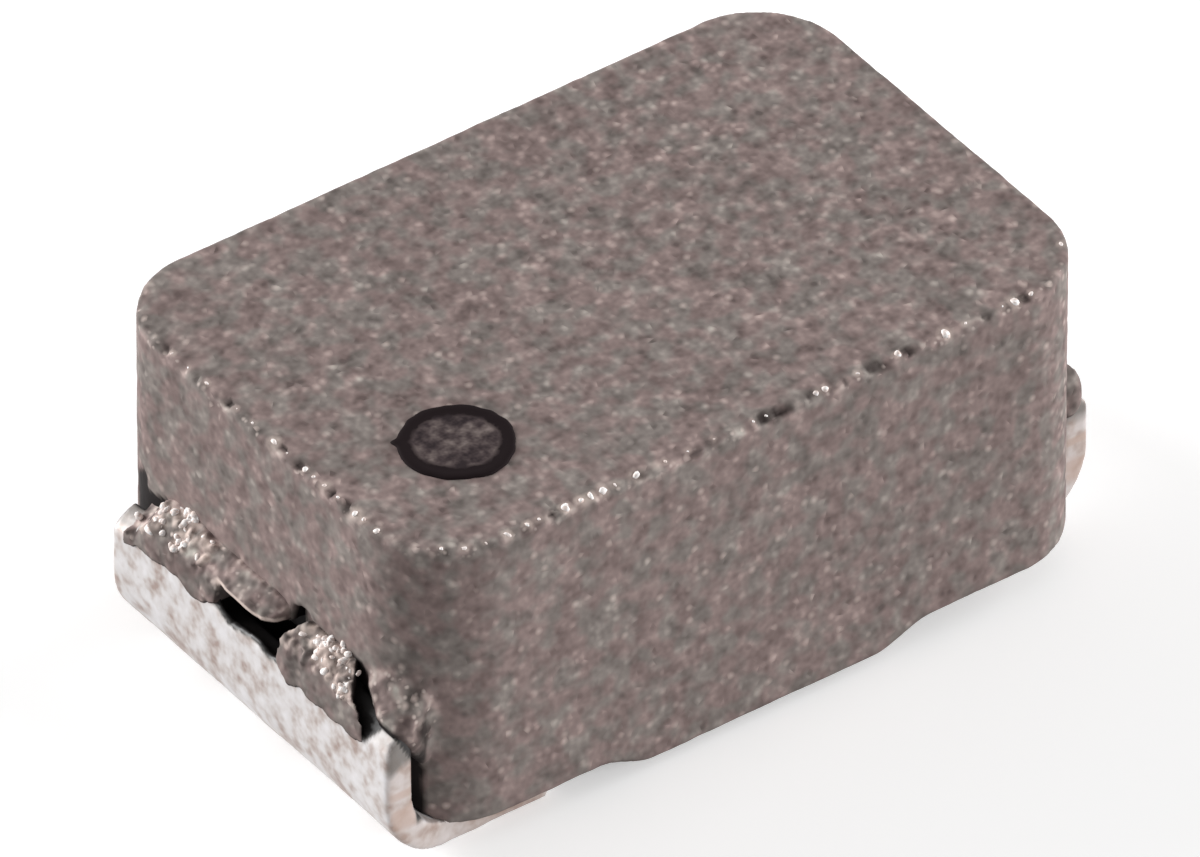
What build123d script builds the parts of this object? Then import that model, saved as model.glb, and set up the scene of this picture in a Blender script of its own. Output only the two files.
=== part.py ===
"""Surface-mount moulded power inductor: a flat-wire coil pressed into a metal-powder block.

A two-layer spiral coil of flat enamelled wire is buried in a block of pressed metal-powder
composite. Each end of the wire is welded to a tinned copper terminal that leaves the block at
mid-height, bends down the end wall and folds under it as a solder foot. An ink dot on top marks
the start of the winding.

Millimetres, +Z up. The origin is under the middle of the block, at the level of the solder feet.
The long side runs along X, and the corner with the dot is at -X, -Y.
"""

from build123d import *
import os

os.makedirs("parts", exist_ok=True)

# Moulded block
body_length = 1.86
body_width = 1.22
body_height = 0.813
corner_radius = 0.22
top_edge_radius = 0.012

# Underside: the middle pad stands lower than the seats of the terminal feet
pad_depth = 0.045
pad_length = 0.63
ramp_length = 0.12
ramp_radius = 0.1

# Terminals, bent from flat tinned copper strip
strip_thickness = 0.07
strip_width = 1.04
strip_shift = 0.055
strip_exit_height = 0.392
exit_bend_radius = 0.075
foot_bend_radius = 0.2
foot_length = 0.48
foot_corner_radius = 0.06
neck_width = 0.78
tab_depth = 0.15

# Relief slot across the exit bend of each terminal, and the hollow behind it
slot_width = 0.27
slot_depth = 0.045
slot_drop = 0.07
slot_margin = 0.007
hollow_depth = 0.06
hollow_height = 0.12

# Welding ear inside the block, folded from the tab towards the wire that it carries
ear_length = 0.26
ear_inset = 0.05
ear_root = 0.07
ear_bend_radius = 0.08
ear_tip_margin = 0.02

# Flash of moulding compound that sits on each exit bend, and the lip over the slot
flash_thickness = 0.016
flash_bite = 0.03
flash_land = 0.015
flash_proud = 0.006
flash_far_inset = 0.025
flash_near_inset = 0.085
lip_width = 0.23
lip_reach = 0.055
lip_height = 0.035
lip_overlap = 0.007

# Winding: two stacked spirals of flat wire, wound outwards from one crossover, and held by the
# terminals' ears with its middle a little above the strip's
winding_rise = 0.075
wire_thickness = 0.055
wire_width = 0.17
turn_gap = 0.005
layer_gap = 0.006
half_turns = 8
core_radius = 0.18
crossover_flat = 0.07
winding_end_gap = 0.07
lead_out_margin = 0.07

# Ink dot that marks the start of the winding
dot_radius = 0.1345
dot_inset = 0.335
dot_thickness = 0.006

# Levels and half sizes worked out from the sizes above
standoff = strip_thickness - pad_depth
top_level = standoff + body_height
half_length = body_length / 2
half_width = body_width / 2
face_x = half_length + strip_thickness
strip_middle = strip_exit_height - strip_thickness / 2
tab_end_x = half_length - tab_depth

pitch = wire_thickness + turn_gap
centre_y = pitch / 4
core_half_width = core_radius - centre_y
winding_half_width = centre_y + core_radius + (half_turns - 1) * pitch / 2 + wire_thickness
centre_x = tab_end_x - winding_end_gap - winding_half_width
ramp_end_x = centre_x - crossover_flat
winding_height = 2 * wire_width + layer_gap
winding_middle = strip_middle + winding_rise
winding_bottom = winding_middle - winding_height / 2
upper_layer_bottom = winding_bottom + wire_width + layer_gap
lead_out_x = half_length - lead_out_margin


def spiral_side(turn, inset):
    """One long side of a spiral strip: half circles on two centres, joined by straights."""
    for index in range(half_turns):
        end = 1 if index % 2 == 0 else -1
        radius = core_radius + index * pitch / 2 + inset
        straight_y = end * (centre_y + radius)
        last = index == half_turns - 1
        CenterArc((turn * end * centre_x, end * centre_y), radius, -90 * end, 180 * turn)
        Line(
            (turn * end * centre_x, straight_y),
            (turn * lead_out_x if last else -turn * end * centre_x, straight_y),
        )


def spiral_layer(turn, bottom):
    """One layer of the coil, wound outwards towards the end wall on the side of turn."""
    start_x = turn * centre_x
    start_y = -core_half_width
    end_y = -winding_half_width
    with BuildSketch(Plane.XY.offset(bottom)) as strip:
        with BuildLine():
            spiral_side(turn, 0)
            spiral_side(turn, wire_thickness)
            Line((start_x, start_y), (start_x, start_y - wire_thickness))
            Line((turn * lead_out_x, end_y), (turn * lead_out_x, end_y + wire_thickness))
        make_face()
    extrude(strip.sketch, amount=wire_width)


# Winding: lower layer, upper layer and the crossover that climbs between them at the core
with BuildPart() as winding:
    spiral_layer(1, winding_bottom)
    spiral_layer(-1, upper_layer_bottom)
    with BuildSketch(Plane.XZ.offset(core_half_width)):
        with BuildLine():
            crossover_underside = Polyline(
                (centre_x, winding_bottom),
                (ramp_end_x, winding_bottom),
                (-ramp_end_x, upper_layer_bottom),
                (-centre_x, upper_layer_bottom),
            )
            crossover_top = Polyline(
                (centre_x, winding_bottom + wire_width),
                (ramp_end_x, winding_bottom + wire_width),
                (-ramp_end_x, upper_layer_bottom + wire_width),
                (-centre_x, upper_layer_bottom + wire_width),
            )
            Line(crossover_underside @ 0, crossover_top @ 0)
            Line(crossover_underside @ 1, crossover_top @ 1)
        make_face()
    extrude(amount=wire_thickness)
winding.part.label = "winding"


def bend_strip(side, shift):
    """The strip's side view, from its tab in the block to the end of its foot, given its width."""
    leg_x = side * (face_x - strip_thickness / 2)
    with BuildSketch(Plane.XZ.offset(-shift)) as section:
        with BuildLine():
            FilletPolyline(
                (side * tab_end_x, strip_middle),
                (leg_x, strip_middle),
                (leg_x, strip_thickness / 2),
                (side * (face_x - foot_length), strip_thickness / 2),
                radius=[
                    exit_bend_radius - strip_thickness / 2,
                    foot_bend_radius - strip_thickness / 2,
                ],
            )
        trace(line_width=strip_thickness)
    extrude(section.sketch, amount=strip_width / 2, both=True)


def trim_neck(side):
    """Cut the strip narrower where it enters the block, so that the rounded corners stay whole."""
    tab_middle_x = side * (half_length - tab_depth / 2)
    edge_middle_y = (half_width + neck_width / 2) / 2
    with BuildSketch(Plane.XY.offset(strip_exit_height - strip_thickness)) as waste:
        with Locations((tab_middle_x, -edge_middle_y), (tab_middle_x, edge_middle_y)):
            Rectangle(tab_depth, half_width - neck_width / 2)
    extrude(waste.sketch, amount=strip_thickness, mode=Mode.SUBTRACT)


def cut_relief_slot(side, shift):
    """The slot that eases the exit bend: through the tab, and down to the middle of the bend."""
    outside_x = side * (face_x + strip_thickness)
    wall_x = side * half_length
    inner_x = side * (half_length - slot_depth)
    below_tab = strip_exit_height - strip_thickness - slot_margin
    above_tab = strip_exit_height + strip_thickness
    with BuildSketch(Plane.XZ.offset(-shift)) as slot:
        with BuildLine():
            Polyline(
                (outside_x, strip_exit_height - slot_drop + strip_thickness / 2),
                (side * face_x, strip_exit_height - slot_drop),
                (wall_x, below_tab),
                (inner_x, below_tab),
                (inner_x, above_tab),
                (outside_x, above_tab),
                close=True,
            )
        make_face()
    extrude(slot.sketch, amount=slot_width / 2, both=True, mode=Mode.SUBTRACT)


def fold_ear(side, tip_level):
    """The ear beside the end of the wire, folded up or down from the tab to tip_level."""
    wire_face = -(winding_half_width - wire_thickness)
    ear_y = wire_face + strip_thickness / 2
    outer_x = side * (half_length - ear_inset)
    with BuildSketch(Plane.YZ.offset(outer_x)) as section:
        with BuildLine():
            FilletPolyline(
                (wire_face + strip_thickness + ear_root, strip_middle),
                (ear_y, strip_middle),
                (ear_y, tip_level),
                radius=ear_bend_radius - strip_thickness / 2,
            )
        trace(line_width=strip_thickness)
    extrude(section.sketch, amount=-side * ear_length)


def build_terminal(side, tip_level):
    """One terminal: bent strip, neck, relief slot, ear and rounded foot corners."""
    shift = side * strip_shift
    with BuildPart() as terminal:
        bend_strip(side, shift)
        trim_neck(side)
        cut_relief_slot(side, shift)
        fold_ear(side, tip_level)
        foot_corners = terminal.edges().filter_by(Axis.Z).filter_by(
            lambda edge: abs(edge.center().Z - strip_thickness / 2) < strip_thickness / 4
        )
        fillet(foot_corners, radius=foot_corner_radius)
    return terminal.part


left_terminal = build_terminal(-1, upper_layer_bottom + wire_width - ear_tip_margin)
left_terminal.label = "left_terminal"

right_terminal = build_terminal(1, winding_bottom + ear_tip_margin)
right_terminal.label = "right_terminal"


def add_flash(side, shift):
    """Compound left on the exit bend, on both sides of the slot."""
    top = strip_exit_height + flash_thickness
    foot = strip_exit_height - exit_bend_radius
    inner_x = side * (half_length - flash_bite)
    proud_x = side * (face_x + flash_proud)
    slot_edge = slot_width / 2
    strip_edge = strip_width / 2
    far_span = (shift - side * slot_edge, shift - side * (strip_edge - flash_far_inset))
    near_span = (shift + side * slot_edge, shift + side * (strip_edge - flash_near_inset))
    for span in (far_span, near_span):
        with BuildSketch(Plane.XZ.offset(-span[0])) as section:
            with BuildLine():
                shelf = Line((inner_x, top), (side * (half_length + flash_land), top))
                nose = TangentArc(shelf @ 1, (proud_x, foot + flash_thickness), tangent=(side, 0))
                Polyline(nose @ 1, (proud_x, foot), (inner_x, foot), (inner_x, top))
            make_face()
        extrude(section.sketch, amount=span[0] - span[1])


def add_slot_lip(side, shift):
    """The rounded lip of compound that hangs over the slot."""
    inner_x = side * (half_length - flash_bite)
    with BuildSketch(Plane.XY.offset(strip_exit_height - lip_overlap)) as lip:
        with BuildLine():
            rim = ThreePointArc(
                (inner_x, shift - lip_width / 2),
                (side * (half_length + lip_reach), shift),
                (inner_x, shift + lip_width / 2),
            )
            Line(rim @ 1, rim @ 0)
        make_face()
    extrude(lip.sketch, amount=lip_height)


def cut_slot_hollow(side, shift):
    """The hollow in the end wall behind the slot, under the lip."""
    hollow_top = strip_exit_height - lip_overlap
    hollow_x = side * (half_length - hollow_depth / 2)
    with BuildSketch(Plane.XZ.offset(-shift)) as hollow:
        with Locations((hollow_x, hollow_top - hollow_height / 2)):
            Rectangle(hollow_depth, hollow_height)
    extrude(hollow.sketch, amount=slot_width / 2, both=True, mode=Mode.SUBTRACT)


# Block: side profile with the lowered pad, rounded corners, flash, and room for what it holds
with BuildPart() as moulded_body:
    with BuildSketch(Plane.XZ):
        with BuildLine():
            underside = FilletPolyline(
                (0, standoff),
                (pad_length / 2, standoff),
                (pad_length / 2 + ramp_length, strip_thickness),
                (half_length, strip_thickness),
                radius=ramp_radius,
            )
            Polyline(underside @ 1, (half_length, top_level), (0, top_level))
            mirror(about=Plane.YZ)
        make_face()
    extrude(amount=half_width, both=True)
    fillet(moulded_body.edges().filter_by(Axis.Z), radius=corner_radius)
    fillet(moulded_body.faces().sort_by(Axis.Z)[-1].edges(), radius=top_edge_radius)
    for side in (-1, 1):
        add_flash(side, side * strip_shift)
        add_slot_lip(side, side * strip_shift)
        cut_slot_hollow(side, side * strip_shift)
    with BuildSketch(Plane.XY.offset(winding_bottom)):
        SlotCenterToCenter(2 * centre_x, 2 * winding_half_width)
        SlotCenterToCenter(2 * centre_x, 2 * core_half_width, mode=Mode.SUBTRACT)
    extrude(amount=winding_height, mode=Mode.SUBTRACT)
    add([winding.part, left_terminal, right_terminal], mode=Mode.SUBTRACT)
moulded_body.part.label = "moulded_body"

# Ink dot on the top face
with BuildPart() as polarity_dot:
    with BuildSketch(Plane.XY.offset(top_level)):
        with Locations((dot_inset - half_length, dot_inset - half_width)):
            Circle(dot_radius)
    extrude(amount=dot_thickness)
polarity_dot.part.label = "polarity_dot"

export_step(moulded_body.part, "parts/moulded_body.step")
export_step(winding.part, "parts/winding.step")
export_step(left_terminal, "parts/left_terminal.step")
export_step(right_terminal, "parts/right_terminal.step")
export_step(polarity_dot.part, "parts/polarity_dot.step")
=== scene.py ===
"""Looks of a moulded surface-mount power inductor: powder block, tinned terminals, flash, ink dot.

Meshes are built in millimetres and scaled to metres when they become pieces.
"""

import math

import bmesh
import bpy
import numpy as np
from mathutils import Matrix, Vector


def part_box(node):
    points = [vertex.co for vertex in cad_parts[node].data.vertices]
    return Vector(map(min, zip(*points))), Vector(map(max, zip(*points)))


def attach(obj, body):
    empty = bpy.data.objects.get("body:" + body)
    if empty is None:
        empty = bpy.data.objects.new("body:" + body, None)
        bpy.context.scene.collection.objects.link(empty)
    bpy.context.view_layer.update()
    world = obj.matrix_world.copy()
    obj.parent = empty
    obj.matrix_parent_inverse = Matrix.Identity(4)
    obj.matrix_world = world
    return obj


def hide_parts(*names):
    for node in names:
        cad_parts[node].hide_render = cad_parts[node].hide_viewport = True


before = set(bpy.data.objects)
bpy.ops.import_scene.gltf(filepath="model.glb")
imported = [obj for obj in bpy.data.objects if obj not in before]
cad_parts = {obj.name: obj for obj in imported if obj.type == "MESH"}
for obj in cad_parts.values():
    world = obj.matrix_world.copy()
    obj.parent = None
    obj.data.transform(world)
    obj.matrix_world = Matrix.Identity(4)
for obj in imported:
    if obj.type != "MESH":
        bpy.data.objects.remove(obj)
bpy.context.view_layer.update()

MM = 0.001


def box_mm(node):
    """Lowest and highest corner of a CAD node, in millimetres."""
    low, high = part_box(node)
    return Vector(low) / MM, Vector(high) / MM


# Sizes read from the frame, and the sizes of the forms in it
block_low, block_high = box_mm("moulded_body")
left_low, left_high = box_mm("left_terminal")
right_low, right_high = box_mm("right_terminal")
dot_low, dot_high = box_mm("polarity_dot")
terminal_boxes = {-1: (left_low, left_high), 1: (right_low, right_high)}

top_z = block_high.z
standoff = block_low.z
half_width = block_high.y
face_x = right_high.x
strip_thickness = 0.07
strip_half_width = (left_high.y - left_low.y) / 2
half_length = face_x - strip_thickness
corner_radius = 0.22
pad_half_length = 0.315
ramp_length = 0.12
ramp_easing = 0.018
exit_height = right_high.z
exit_bend_radius = 0.075
foot_bend_radius = 0.2
foot_end_x = right_low.x
foot_corner_radius = 0.06
neck_half_width = 0.39
tab_depth = 0.15
slot_half_width = 0.135
slot_drop = 0.07
slot_depth = 0.045
lip_overlap = 0.007
flash_top = 0.443
flash_fall_depth = 0.046
droop_depth = 0.04
droop_start = 0.32
coarse_grain_count = 170
loose_grain_count = 70

# Voxels of the remeshed skins, and the small rounding of the block's edges
BLOCK_VOXEL = 0.0108
TERMINAL_VOXEL = 0.0072
FLASH_VOXEL = 0.0046
BLOCK_EDGE = 0.011

# Bright grains along the edges, painted near white as glints: place in millimetres, or degrees
# round the corner, and size
FRONT_SPARKLES = (
    (-0.545, 1.35), (-0.501, 1.45), (-0.475, 1.1), (-0.441, 1.35), (-0.409, 0.9), (-0.352, 1.5),
    (-0.296, 1.0), (-0.274, 0.9), (-0.213, 0.8), (-0.144, 0.8), (-0.092, 0.6), (-0.035, 0.8),
    (0.0, 0.5), (0.134, 0.7), (0.158, 1.1), (0.248, 1.0), (0.358, 1.1), (0.487, 1.5), (0.543, 0.8),
    (0.562, 0.7), (0.642, 0.9), (0.674, 1.5), (-0.643, 1.2), (-0.614, 0.9), (-0.7, 1.3),
)
LEFT_SPARKLES = (
    (0.4, 0.7), (0.33, 0.9), (0.27, 0.6), (0.2, 1.0), (0.15, 0.6), (0.09, 0.8), (0.03, 0.7),
    (-0.0516, 1.5), (-0.1, 0.6), (-0.17, 1.0), (-0.2, 0.7), (-0.24, 1.3), (-0.29, 0.7),
    (-0.355, 1.5), (-0.385, 1.2),
)
CORNER_SPARKLES = ((8, 1.0), (24, 0.7), (52, 0.8), (66, 1.1), (80, 0.7), (96, 0.9), (149, 0.9))
# Grains broken out of the top edge, their hollows painted dark as shade: place and size
FRONT_PITS = (
    (-0.343, 0.9), (-0.575, 0.6), (-0.005, 1.0), (0.039, 1.3), (0.196, 1.2), (0.126, 0.8),
    (0.296, 1.3), (0.385, 0.9), (0.6, 0.7), (0.702, 0.9),
)
LEFT_PITS = ((0.36, 0.8), (0.12, 0.7), (-0.08, 0.8), (-0.145, 0.9), (-0.26, 0.8), (-0.32, 0.9))
# Bright grains on the left flash, painted near white as glints: place and size
FLASH_SPARKLES = (
    (-0.945, -0.261, 0.438, 2.9), (-0.961, -0.311, 0.429, 3.6), (-0.933, -0.321, 0.443, 1.6),
    (-0.93, -0.343, 0.443, 1.3), (-0.954, -0.374, 0.435, 1.8), (-0.984, -0.4, 0.406, 2.0),
    (-0.978, -0.281, 0.414, 1.5), (-0.956, -0.206, 0.432, 1.5), (-0.96, -0.246, 0.429, 1.4),
    (-0.962, -0.338, 0.428, 1.6), (-0.99, -0.366, 0.403, 1.3), (-0.966, 0.405, 0.362, 1.5),
    (-0.981, 0.306, 0.412, 2.3), (-0.936, 0.251, 0.442, 2.5), (-0.985, 0.228, 0.407, 2.1),
    (-0.997, 0.321, 0.394, 1.6), (-0.953, 0.329, 0.434, 1.6), (-0.95, 0.292, 0.436, 1.6),
    (-0.953, 0.25, 0.434, 1.6), (-0.97, 0.208, 0.422, 1.4), (-0.947, 0.183, 0.438, 1.3),
    (-0.95, 0.149, 0.436, 1.3),
)
# Lower edge of the flash on the terminal's outer face: distance across the block, and height
FAR_FLASH_EDGE = (
    (0.075, 0.35), (0.1, 0.338), (0.126, 0.315), (0.158, 0.307), (0.18, 0.325), (0.21, 0.336),
    (0.264, 0.333), (0.31, 0.32), (0.348, 0.32), (0.38, 0.338), (0.4, 0.352), (0.414, 0.378),
)
NEAR_FLASH_EDGE = (
    (0.135, 0.352), (0.16, 0.346), (0.191, 0.32), (0.202, 0.303), (0.23, 0.316), (0.255, 0.33),
    (0.286, 0.311), (0.33, 0.322), (0.371, 0.314), (0.41, 0.322), (0.434, 0.311), (0.487, 0.322),
    (0.56, 0.38),
)
# Lower edge of the slot and the hole above it: distance from the slot's middle, height
SLOT_EDGE = (
    (-0.14, 0.36), (-0.1, 0.342), (-0.07, 0.331), (-0.02, 0.343), (0.03, 0.349), (0.07, 0.334),
    (0.14, 0.35),
)
NOTCH = (
    (0.06, 0.37), (0.065, 0.405), (0.078, 0.447), (0.11, 0.459), (0.139, 0.452), (0.148, 0.41),
    (0.15, 0.37),
)
# Lip over the slot and the opening beside it: distance along and across the block
LIP_RIM = (
    (0.965, -0.122), (0.983, -0.088), (0.991, -0.039), (0.993, 0.01), (0.992, 0.055),
    (0.986, 0.085), (0.968, 0.109), (0.935, 0.118),
)
LIP_HOLE = ((0.905, 0.105), (0.905, 0.2), (0.93, 0.197), (1.0, 0.16), (1.05, 0.15), (1.05, 0.105))
# Points of the compound left at the corner beside the crack
RESIDUE = (
    (0.9, 0.42, 0.38), (0.93, 0.41, 0.4), (0.93, 0.41, 0.437), (0.957, 0.466, 0.395),
    (0.953, 0.462, 0.418), (0.977, 0.516, 0.375), (0.97, 0.516, 0.405), (0.975, 0.559, 0.365),
    (0.968, 0.56, 0.4), (0.96, 0.578, 0.4), (0.943, 0.586, 0.368), (0.91, 0.572, 0.29),
    (0.885, 0.548, 0.245), (0.86, 0.553, 0.42), (0.862, 0.552, 0.457), (0.893, 0.515, 0.47),
    (0.915, 0.455, 0.466), (0.84, 0.5, 0.4), (0.84, 0.54, 0.25),
)
RESIDUE_CENTRE = (0.92, 0.5, 0.39)
RESIDUE_SIZE = (0.08, 0.11, 0.1)
# End of the flash at the near corner: distance along and across the block
FLASH_END = (
    (0.89, 0.352), (0.93, 0.368), (0.962, 0.402), (0.988, 0.428), (1.003, 0.485), (1.04, 0.6),
)
# Lump at the visible end of the right terminal's bend
LUMP_CENTRE = (0.95, -0.437, 0.372)
LUMP_RADII = (0.043, 0.038, 0.085)
# Where the painted shade in the gap behind the near corner of a terminal ends: height, distance
# across
GAP_EDGE = (
    (0.06, 0.546), (0.13, 0.543), (0.185, 0.539), (0.22, 0.544), (0.255, 0.533), (0.3, 0.514),
    (0.318, 0.5), (0.324, 0.446), (0.335, 0.438), (0.3615, 0.425), (0.411, 0.414), (0.437, 0.41),
    (0.45, 0.395), (0.46, 0.36),
)
# Top and bottom of the painted shade in the hollow at the far corner: distance across, height
HOLLOW_TOP = (
    (0.34, 0.437), (0.395, 0.416), (0.435, 0.409), (0.438, 0.452), (0.448, 0.452), (0.52, 0.389),
    (0.57, 0.34),
)
HOLLOW_BOTTOM = ((0.46, 0.25), (0.5, 0.28), (0.56, 0.33))
HOLLOW_ENDS = (0.342, 0.525)

# Direction of the ink's spike, in degrees
SPIKE_ANGLE = 144

# Camera: a lens fitted to the photograph's outline of the block, with its distance in millimetres
PIXELS_WIDE = 1200
PIXELS_HIGH = 857
PIXELS_PER_MM = 455.4
TOP_CENTRE_PIXEL = (602.6, 278.7)
AZIMUTH = -36.08
ELEVATION = 38.93
CAMERA_DISTANCE = 80.0
SENSOR = 36.0


# Noise in numpy, so that every vertex is moved the same way on each run

def lattice_values(cells, seed):
    """A repeatable random value from -1 to 1 for each integer lattice point."""
    mixed = (
        cells[:, 0].astype(np.int64) * 73856093
        ^ cells[:, 1].astype(np.int64) * 19349663
        ^ cells[:, 2].astype(np.int64) * 83492791
        ^ np.int64(seed) * 2654435761
    )
    mixed = (mixed ^ (mixed >> 13)) * 1274126177
    mixed = mixed ^ (mixed >> 16)
    return (mixed & 0xFFFFF) / float(0x7FFFF) - 1.0


def smooth_noise(points, size, seed):
    """Value noise from -1 to 1 with features about as large as size."""
    scaled = points / size
    base = np.floor(scaled)
    part = scaled - base
    part = part * part * (3 - 2 * part)
    total = np.zeros(len(points))
    for step in np.ndindex(2, 2, 2):
        share = np.where(step, part, 1 - part)
        total += share[:, 0] * share[:, 1] * share[:, 2] * lattice_values(base + step, seed)
    return total


def eased(value):
    """0 below 0, 1 above 1, with a soft start and end."""
    value = np.clip(value, 0, 1)
    return value * value * (3 - 2 * value)


def fade(value, width):
    """0 below zero, rising to 1 over a width."""
    return np.clip(value / width, 0, 1)


def within(value, low, high, width):
    """1 between two limits, falling to 0 over a width inside each of them."""
    return fade(value - low, width) * fade(high - value, width)


def along_table(value, table):
    """The second column of a table at a value of its first."""
    return np.interp(value, *zip(*table))


# Mesh helpers

def linked(name, shape):
    """A new object in the scene from a bmesh, which is freed."""
    mesh = bpy.data.meshes.new(name)
    shape.to_mesh(mesh)
    shape.free()
    piece = bpy.data.objects.new(name, mesh)
    bpy.context.scene.collection.objects.link(piece)
    return piece


def mesh_from(name, vertices, faces):
    """An object from plain lists, with its normals made consistent."""
    mesh = bpy.data.meshes.new(name)
    mesh.from_pydata(vertices, [], faces)
    shape = bmesh.new()
    shape.from_mesh(mesh)
    bpy.data.meshes.remove(mesh)
    bmesh.ops.recalc_face_normals(shape, faces=shape.faces)
    return linked(name, shape)


def prism(name, outline, place, low, high):
    """A closed prism: outline points go through place(a, b, h) at the two ends low and high."""
    count = len(outline)
    vertices = [place(a, b, low) for a, b in outline] + [place(a, b, high) for a, b in outline]
    faces = [tuple(range(count)), tuple(range(2 * count - 1, count - 1, -1))]
    for index in range(count):
        following = (index + 1) % count
        faces.append((index, following, following + count, index + count))
    return mesh_from(name, vertices, faces)


def along_y(a, b, h):
    return (a, h, b)


def along_x(a, b, h):
    return (h, a, b)


def along_z(a, b, h):
    return (a, b, h)


def hull(name, points):
    """The convex hull of some points."""
    shape = bmesh.new()
    for point in points:
        shape.verts.new(point)
    made = bmesh.ops.convex_hull(shape, input=shape.verts[:])
    spare = made["geom_interior"] + made["geom_unused"]
    spare = {item for item in spare if isinstance(item, bmesh.types.BMVert)}
    bmesh.ops.delete(shape, geom=list(spare), context="VERTS")
    bmesh.ops.recalc_face_normals(shape, faces=shape.faces[:])
    return linked(name, shape)


def mirrored(side, first, last):
    """Two distances from the middle, on one side and in order."""
    return sorted((side * first, side * last))


def arc(centre_a, centre_b, radius, start, end, steps):
    """Points of an arc, angles in degrees."""
    angles = np.radians(np.linspace(start, end, steps + 1))
    return [(centre_a + radius * math.cos(t), centre_b + radius * math.sin(t)) for t in angles]


def modified(piece, kind, **settings):
    """The piece with one modifier made and applied."""
    step = piece.modifiers.new(kind, kind)
    for key, value in settings.items():
        setattr(step, key, value)
    depsgraph = bpy.context.evaluated_depsgraph_get()
    mesh = bpy.data.meshes.new_from_object(piece.evaluated_get(depsgraph))
    old = piece.data
    piece.modifiers.clear()
    piece.data = mesh
    bpy.data.meshes.remove(old)
    return piece


def cut(piece, cutter):
    """Take the cutter away from the piece."""
    modified(piece, "BOOLEAN", operation="DIFFERENCE", solver="EXACT", object=cutter)
    remove(cutter)


def remeshed(piece, voxel):
    """Fuse overlapping closed shells into one even skin."""
    return modified(piece, "REMESH", mode="VOXEL", voxel_size=voxel, adaptivity=0)


def remove(piece):
    mesh = piece.data
    bpy.data.objects.remove(piece)
    bpy.data.meshes.remove(mesh)


def joined(name, parts):
    """One object that holds copies of several, which are removed."""
    shape = bmesh.new()
    for part in parts:
        shape.from_mesh(part.data)
        remove(part)
    return linked(name, shape)


def vertex_values(piece, key):
    """The places ("co") or the normals ("normal") of a piece's vertices."""
    flat = np.empty(len(piece.data.vertices) * 3)
    piece.data.vertices.foreach_get(key, flat)
    return flat.reshape(-1, 3)


def set_points(piece, points):
    piece.data.vertices.foreach_set("co", points.ravel())
    piece.data.update()


def shade_attribute(piece, name, values):
    """Store one number for each vertex, for the material to read."""
    layer = piece.data.attributes.new(name, "FLOAT", "POINT")
    layer.data.foreach_set("value", np.asarray(values, dtype=np.float32))


def finished(piece, nodes, material):
    """Scale a piece to metres, shade it smooth, give it its material, hang it under the root body
    and hide the CAD nodes it stands for.
    """
    piece.data.transform(Matrix.Scale(MM, 4))
    piece.data.shade_smooth()
    piece.data.materials.append(material)
    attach(piece, "root")
    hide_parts(*nodes)


# Moulded block

def underside_z(x):
    """Height of the underside: the middle pad, the ramps and the seats of the feet."""
    start = pad_half_length - ramp_easing
    run = ramp_length + 2 * ramp_easing
    return standoff + (strip_thickness - standoff) * eased((abs(x) - start) / run)


def block_half_width_at(x):
    """Half width of the rounded rectangle at one station along the block."""
    past = abs(x) - (half_length - corner_radius)
    if past <= 0:
        return half_width
    return half_width - corner_radius + math.sqrt(max(corner_radius ** 2 - past ** 2, 0.0))


def block_stations():
    """Stations along the block, close together round the corners and on the ramps."""
    turns = np.linspace(0, math.pi / 2, 25)
    corner = [half_length - corner_radius * (1 - math.sin(t)) for t in turns]
    ramp_end = pad_half_length + ramp_length + ramp_easing
    ramp = list(np.linspace(pad_half_length - ramp_easing, ramp_end, 25))
    positive = sorted(ramp + corner)
    return [-x for x in reversed(positive)] + positive


def end_shift(side):
    """How far the terminal at one end is off the middle, across the block."""
    low, high = terminal_boxes[side]
    return (low.y + high.y) / 2


def build_block():
    """The pressed block: rounded box with its pad, corner residue, slot hollows and grain."""
    vertices = []
    faces = []
    for index, x in enumerate(block_stations()):
        width = block_half_width_at(x)
        low = float(underside_z(x))
        vertices += [(x, -width, low), (x, width, low), (x, width, top_z), (x, -width, top_z)]
        if index:
            start = 4 * index
            faces += [(start - 4 + a, start - 4 + b, start + b, start + a)
                      for a, b in ((0, 1), (1, 2), (2, 3), (3, 0))]
    last = len(vertices) - 4
    faces += [(0, 1, 2, 3), (last, last + 1, last + 2, last + 3)]
    block = mesh_from("moulded_block", vertices, faces)
    for side in (-1, 1):
        for cutter in (slot_hollow, foot_bend_room, slot_notch):
            cut(block, cutter(side))
    residue = [hull("residue", [(side * x, side * y, z) for x, y, z in RESIDUE])
               for side in (-1, 1)]
    block = joined("moulded_block", [block] + residue)
    remeshed(block, BLOCK_VOXEL)
    roughen_block(block)
    return block


def slot_hollow(side):
    """The hollow behind the relief slot."""
    depth, height, margin = 0.075, 0.12, 0.05
    high = exit_height - lip_overlap
    low = high - height
    near, far = side * (half_length + margin), side * (half_length - depth)
    shift = end_shift(side)
    return prism("hollow", [(near, low), (near, high), (far, high), (far, low)], along_y,
                 shift - slot_half_width, shift + slot_half_width)


def foot_bend_room(side):
    """The rounded bottom edge of the end wall, over the width of the terminal."""
    inner = foot_bend_radius - strip_thickness
    margin, play = 0.05, 0.01
    centre_x = side * (face_x - foot_bend_radius)
    past_x = side * (face_x + margin)
    low = standoff - margin
    angles = (180, 270) if side < 0 else (0, -90)
    outline = arc(centre_x, foot_bend_radius, inner, *angles, 10)
    outline += [(centre_x, low), (past_x, low), (past_x, foot_bend_radius)]
    shift = end_shift(side)
    return prism("bend_room", outline, along_y,
                 shift - strip_half_width - play, shift + strip_half_width + play)


def slot_notch(side):
    """The ragged hole in the wall above the near end of the slot."""
    shift = end_shift(side)
    outline = [(shift + side * y, z) for y, z in NOTCH]
    return prism("notch", outline, along_x, *mirrored(side, half_length - 0.05, half_length + 0.05))


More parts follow.
